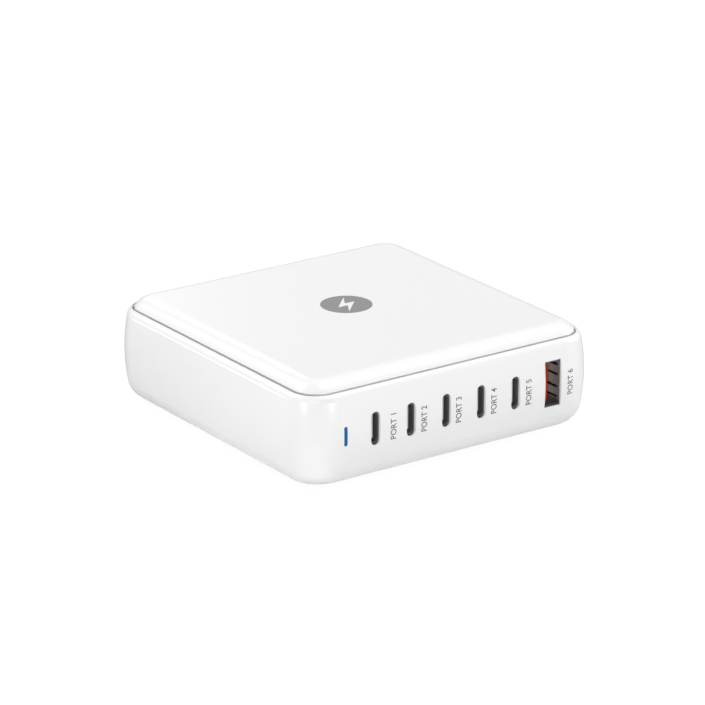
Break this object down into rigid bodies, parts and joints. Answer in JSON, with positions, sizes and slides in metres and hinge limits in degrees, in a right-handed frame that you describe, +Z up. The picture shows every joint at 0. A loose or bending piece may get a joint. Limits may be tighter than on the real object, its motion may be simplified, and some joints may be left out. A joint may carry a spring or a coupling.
{
  "type": "phone charger",
  "caption": "Flat square desktop charger with barrelled walls, a clip-in cover, a light bar, USB-C and USB-A sockets in its port wall and a two-pole mains inlet at the rear",
  "frame": {"origin": "on the surface that the feet stand on, under the middle of the housing", "axes": "+Z is up; the port wall faces -Y; +X runs along the port wall from the light bar to the USB-A socket"},
  "size_m": [0.1, 0.1, 0.0306],
  "materials": {
    "housing_plastic": "satin moulded",
    "cover_plastic": "satin moulded",
    "foot_rubber": "matt",
    "light_bar": "clear, lit blue",
    "led_body": "matt",
    "board": "solder mask",
    "socket_dark": "dark nickel",
    "socket_nickel": "nickel",
    "insulator_black": "matt",
    "contact_gold": "gold flash",
    "tongue_orange": "satin",
    "inlet_plastic": "satin",
    "pin_nickel": "nickel",
    "screw_steel": "zinc",
    "insulating_film": "film",
    "aluminium_plate": "rolled",
    "heat_pad": "matt",
    "fuse_case": "satin",
    "capacitor_yellow": "satin",
    "ferrite": "matt",
    "copper_winding": "enamelled",
    "winding_tape": "tape",
    "chip_case": "matt",
    "bobbin_plastic": "matt",
    "capacitor_sleeve": "sleeve",
    "capacitor_blue": "lacquer",
    "capacitor_can": "drawn"
  },
  "bodies": {
    "root": {"housing": "housing_plastic", "top_cover": "cover_plastic", "light_pipe": "light_bar", "status_led": "led_body", "port_board": "board", "usb_a_shell": "socket_nickel", "usb_a_tongue": "tongue_orange", "usb_a_contacts": "contact_gold", "ac_inlet": "inlet_plastic", "inlet_pin_1": "pin_nickel", "inlet_pin_2": "pin_nickel", "main_board": "board", "board_screws": "screw_steel", "insulating_sheet": "insulating_film", "heat_spreader": "aluminium_plate", "thermal_pad_1": "heat_pad", "thermal_pad_2": "heat_pad", "fuse": "fuse_case", "x_capacitor": "capacitor_yellow", "choke_core": "ferrite", "choke_winding_1": "copper_winding", "choke_winding_2": "copper_winding", "bridge_rectifier": "chip_case", "pfc_core_lower": "ferrite", "pfc_core_upper": "ferrite", "pfc_bobbin": "bobbin_plastic", "pfc_winding": "copper_winding", "bulk_capacitor_1": "capacitor_sleeve", "bulk_capacitor_2": "capacitor_sleeve", "transformer_core_lower": "ferrite", "transformer_core_upper": "ferrite", "transformer_bobbin": "bobbin_plastic", "transformer_winding": "winding_tape", "y_capacitor": "capacitor_blue", "heat_bracket": "aluminium_plate", "power_transistor": "chip_case", "output_inductor_1": "ferrite", "output_inductor_2": "ferrite", "output_capacitor_1": "capacitor_can", "output_capacitor_2": "capacitor_can", "foot_1": "foot_rubber", "foot_2": "foot_rubber", "foot_3": "foot_rubber", "foot_4": "foot_rubber", "usb_c_shell_1": "socket_dark", "usb_c_tongue_1": "insulator_black", "usb_c_contacts_1": "contact_gold", "usb_c_shell_2": "socket_dark", "usb_c_tongue_2": "insulator_black", "usb_c_contacts_2": "contact_gold", "usb_c_shell_3": "socket_dark", "usb_c_tongue_3": "insulator_black", "usb_c_contacts_3": "contact_gold", "usb_c_shell_4": "socket_dark", "usb_c_tongue_4": "insulator_black", "usb_c_contacts_4": "contact_gold", "usb_c_shell_5": "socket_dark", "usb_c_tongue_5": "insulator_black", "usb_c_contacts_5": "contact_gold"}
  },
  "joints": []
}
